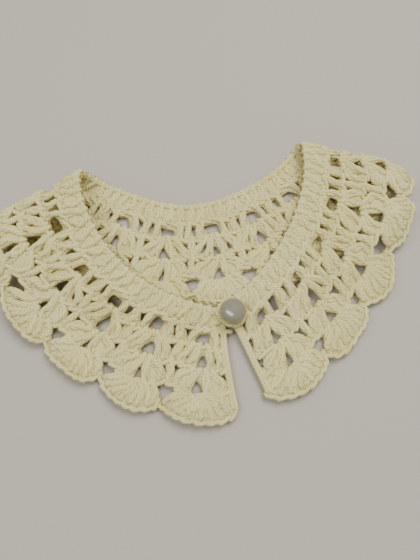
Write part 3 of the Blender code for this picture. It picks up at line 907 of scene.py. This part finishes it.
def pearl_lacquer():
    """Nacre: grey-cream with slow clouds and painted shade darker towards the underside, a satin lacquer over
    it and a slight rainbow at the rim.
    """
    mat = bpy.data.materials.new("pearl_lacquer")
    mat.use_nodes = True
    tree = mat.node_tree
    shader = tree.nodes["Principled BSDF"]
    coords = add_node(tree, "ShaderNodeTexCoord")
    cloud = add_node(tree, "ShaderNodeTexNoise",
                     [("Vector", coords.outputs["Object"]), ("Scale", 1 / PEARL_CLOUD), ("Detail", 1.0)])
    part = add_node(tree, "ShaderNodeSeparateXYZ", [(0, coords.outputs["Object"])])
    # Painted shade: the colour goes from the dark grey at the underside to the skin's at the top, with clouds
    # in it.
    low = (PEARL_MIDDLE - PEARL_BAND * PEARL_HALF_TALL) * MM
    top = (PEARL_MIDDLE + PEARL_BAND * PEARL_HALF_TALL) * MM
    level = add_node(tree, "ShaderNodeMapRange",
                     [("Value", part.outputs["Z"]), ("From Min", low), ("From Max", top)])
    shade = add_node(tree, "ShaderNodeMath",
                     [(0, cloud.outputs["Fac"]), (1, 0.3), (2, level.outputs[0])], operation="MULTIPLY_ADD")
    shaded_skin = add_node(tree, "ShaderNodeMix", data_type="RGBA", inputs=[
        ("Factor", shade.outputs[0]), (6, linear(PEARL_UNDERSIDE_SHADE)), (7, linear(PEARL_SKIN))])
    tree.links.new(shaded_skin.outputs[2], shader.inputs["Base Color"])
    for socket, amount in (("Metallic", 0.35), ("Roughness", 0.26), ("Coat Weight", 0.8),
                           ("Coat Roughness", 0.12), ("Thin Film Thickness", 320.0), ("Thin Film IOR", 1.35)):
        shader.inputs[socket].default_value = amount
    return mat


pearl.data.materials.append(pearl_lacquer())
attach(pearl, "root")
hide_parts("pearl_button")

# The shank: a few turns of the yarn between the pearl and the right front, which sew it on and lift it so that
# the loop goes round below it.
SHANK_LEVELS = (5.0, 6.1, 7.2)  # height of each turn, in mm
SHANK_REACH = 0.95          # radius of a turn, in mm
SHANK_SLOPE = 0.25          # how far a turn rises and falls, in mm
SHANK_YARN = 0.72           # radius of its yarn, which is pulled tight, in mm
angle = np.linspace(0, 2 * math.pi, 12, endpoint=False)
shank_turns = []
for ring, level in enumerate(SHANK_LEVELS):
    x = PEARL_AT[0] + SHANK_REACH * np.cos(angle)
    y = PEARL_AT[1] + SHANK_REACH * np.sin(angle)
    shank_turns.append(spots(x, y, level + SHANK_SLOPE * np.cos(angle + ring)))
shank = yarn_piece("button_shank", [
    yarn_tubes(np.stack(shank_turns), SHANK_YARN, closed=True, steps=3, seed=240, placed=True)])

# The button loop: two strands of the yarn twisted together, from the corner of the left front round the shank,
# tight under the pearl.
LOOP_REACH = 4.9            # radius of the loop round the shank, in mm
LOOP_DRAWN = 0.28           # share by which it is longer towards the left front
LOOP_ASIDE = 0.8            # how far it is drawn towards the neck there, in mm
LOOP_HEIGHT = 6.5           # height of the loop at its middle, in mm
LOOP_LEAN = 0.30            # how much higher it lies over the left front, in mm
LOOP_TWISTS = 5             # turns of its two strands round each other
LOOP_APART = 0.62           # from the middle of the loop to that of each strand, in mm
LOOP_YARN = 0.80            # radius of each strand, in mm
angle = np.linspace(0, 2 * math.pi, 84, endpoint=False)
toward = np.maximum(0, -np.cos(angle))
stretch = 1 + LOOP_DRAWN * toward ** 2
middle_line = spots(PEARL_AT[0] + LOOP_REACH * stretch * np.cos(angle),
                    PEARL_AT[1] + LOOP_REACH * np.sin(angle) + LOOP_ASIDE * toward,
                    LOOP_HEIGHT - LOOP_LEAN * np.cos(angle))
outward = spots(np.cos(angle), np.sin(angle), 0.0)
upward = np.array((0.0, 0.0, 1.0))
loop_strands = []
for strand in (0, 1):
    turn = (LOOP_TWISTS * angle + math.pi * strand)[:, None]
    loop_strands.append(middle_line + LOOP_APART * (np.cos(turn) * outward + np.sin(turn) * upward))
loop = yarn_piece("twisted_button_loop", [
    yarn_tubes(np.stack(loop_strands), LOOP_YARN, closed=True, steps=2, seed=245, placed=True)])
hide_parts("button_loop")

# The floor is a plain pale surface, matt, so that the collar's own shadow shows through its gaps and round its
# rim. It is there for the picture and is no piece of the collar.
FLOOR = "B7B0A2"
bpy.ops.mesh.primitive_plane_add(size=3.0, location=(0, 0, 0))
floor = bpy.context.object
floor.name = "floor"
floor_paint = bpy.data.materials.new("matt_pale_floor")
floor_paint.use_nodes = True
floor_shader = floor_paint.node_tree.nodes["Principled BSDF"]
floor_shader.inputs["Base Color"].default_value = linear(FLOOR)
floor_shader.inputs["Roughness"].default_value = 0.9
floor.data.materials.append(floor_paint)

# Window light from the far side, a weaker long light from the front left, and an even glow all round. Only the
# long light is mirrored in the pearl, which shows one highlight.
WINDOWS = (
    # place in metres, long and short side in metres, watts, mirrored in the pearl
    ((0.28, 0.36, 0.89), (0.6, 0.6), 9.4, False),
    ((-0.36, -0.24, 0.90), (0.9, 0.28), 4.9, True),
)
LONG_SIDE = (0.87, -0.46, -0.195)   # which way the long side of a window runs
GLOW = "EEF0F2"
for spot, size, power, mirrored in WINDOWS:
    bpy.ops.object.light_add(type="AREA", location=spot)
    window = bpy.context.object
    window.data.shape = "RECTANGLE"
    window.data.size, window.data.size_y = size
    window.data.energy = power
    window.visible_glossy = mirrored
    facing = mathutils.Vector(spot).normalized()
    long_side = mathutils.Vector(LONG_SIDE)
    long_side = (long_side - facing * long_side.dot(facing)).normalized()
    axes = mathutils.Matrix((long_side, facing.cross(long_side), facing)).transposed()
    window.rotation_euler = axes.to_euler()
world = bpy.data.worlds.new("studio")
bpy.context.scene.world = world
world.use_nodes = True
world.node_tree.nodes["Background"].inputs["Color"].default_value = linear(GLOW)
world.node_tree.nodes["Background"].inputs["Strength"].default_value = 0.38

# The camera looks down on the collar from in front of it, as the photo does.
CAMERA_AT = (0.00574, -0.08193, 0.18410)   # in metres
CAMERA_TILT = 23.0          # from straight down, in degrees
bpy.ops.object.camera_add(location=CAMERA_AT, rotation=(math.radians(CAMERA_TILT), 0, 0))
camera = bpy.context.object
camera.data.lens = 28.03
camera.data.sensor_width = 36.0
bpy.context.scene.camera = camera
